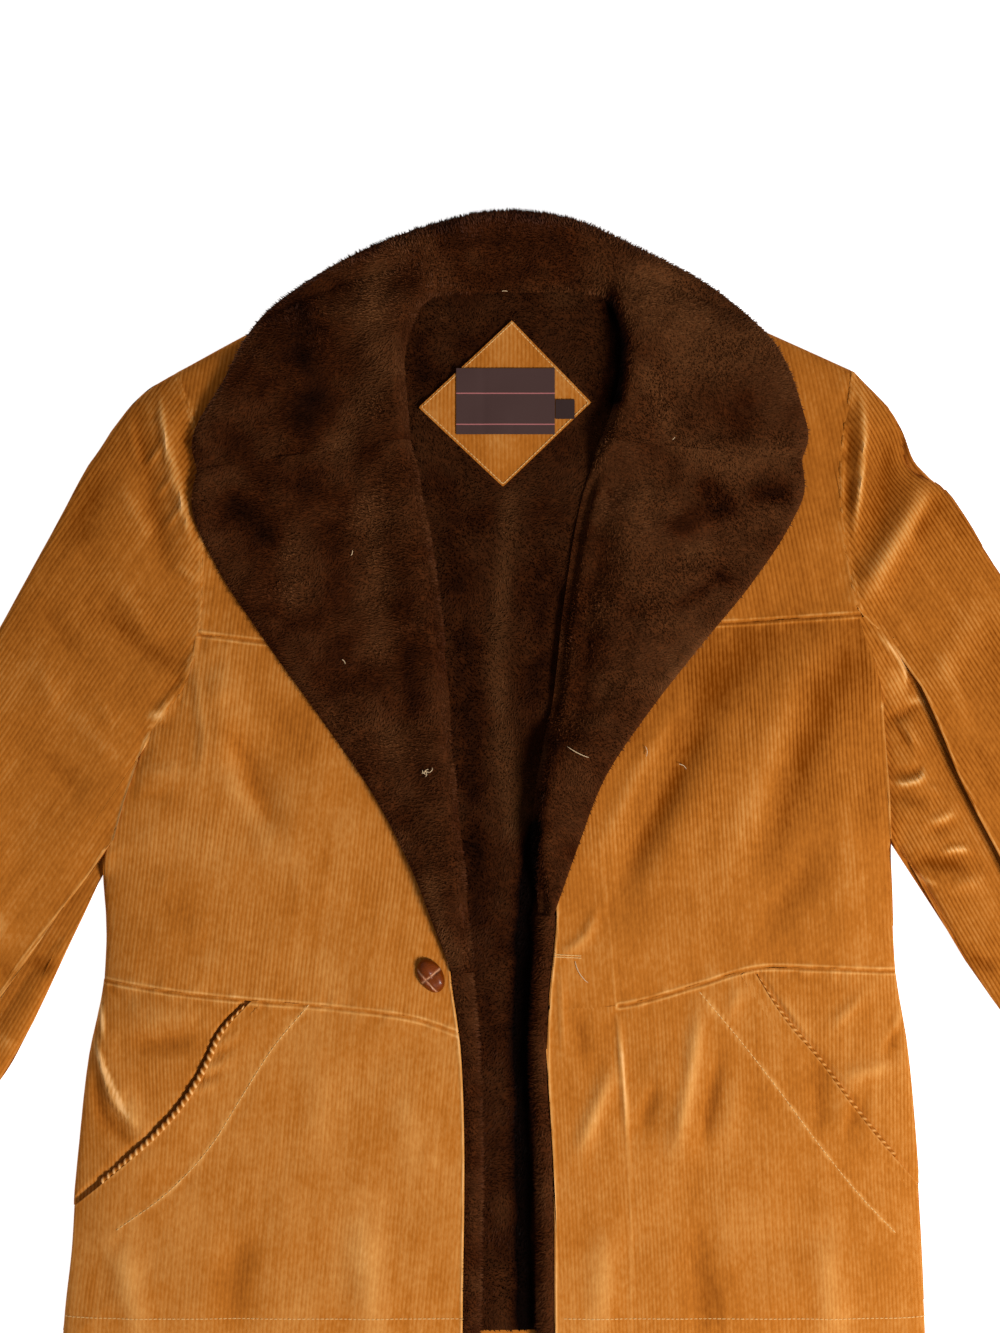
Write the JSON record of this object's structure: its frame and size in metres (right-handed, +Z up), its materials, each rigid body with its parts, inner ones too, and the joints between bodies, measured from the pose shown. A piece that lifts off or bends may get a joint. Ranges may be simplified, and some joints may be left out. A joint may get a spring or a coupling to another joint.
{
  "type": "corduroy rancher jacket laid flat",
  "caption": "Open corduroy rancher jacket with a wide dark pile collar and lapels, slanted skirt pockets and a leather button, lying flat on its back.",
  "frame": {"origin": "on the floor under the back panel, on the centre back line at the level of the chest", "axes": "+Y from hem to collar, +X towards the wearer's left sleeve, +Z up from the floor through the open front"},
  "size_m": [1.193, 0.8909, 0.0342],
  "materials": {
    "corduroy": "caramel brown ribbed cotton corduroy, wales about 3 mm apart, soft nap",
    "pile": "dark brown brushed sheepskin-like pile",
    "label_cloth": "dark woven satin label, bare",
    "leather": "polished woven dark brown leather"
  },
  "bodies": {
    "root": {"back": "corduroy", "back_lining": "pile", "right_yoke": "corduroy", "left_yoke": "corduroy", "right_front": "corduroy", "left_front": "corduroy", "right_skirt_front": "corduroy", "left_skirt_front": "corduroy", "right_skirt_side": "corduroy", "left_skirt_side": "corduroy", "right_pocket_piping": "corduroy", "left_pocket_piping": "corduroy", "right_lapel": "pile", "left_lapel": "pile", "right_facing": "pile", "left_facing": "pile", "right_sleeve_top": "corduroy", "left_sleeve_top": "corduroy", "right_sleeve_under": "corduroy", "left_sleeve_under": "corduroy", "collar": "pile", "neck_patch": "corduroy", "label": "label_cloth", "size_tab": "label_cloth", "button": "leather"}
  },
  "joints": []
}
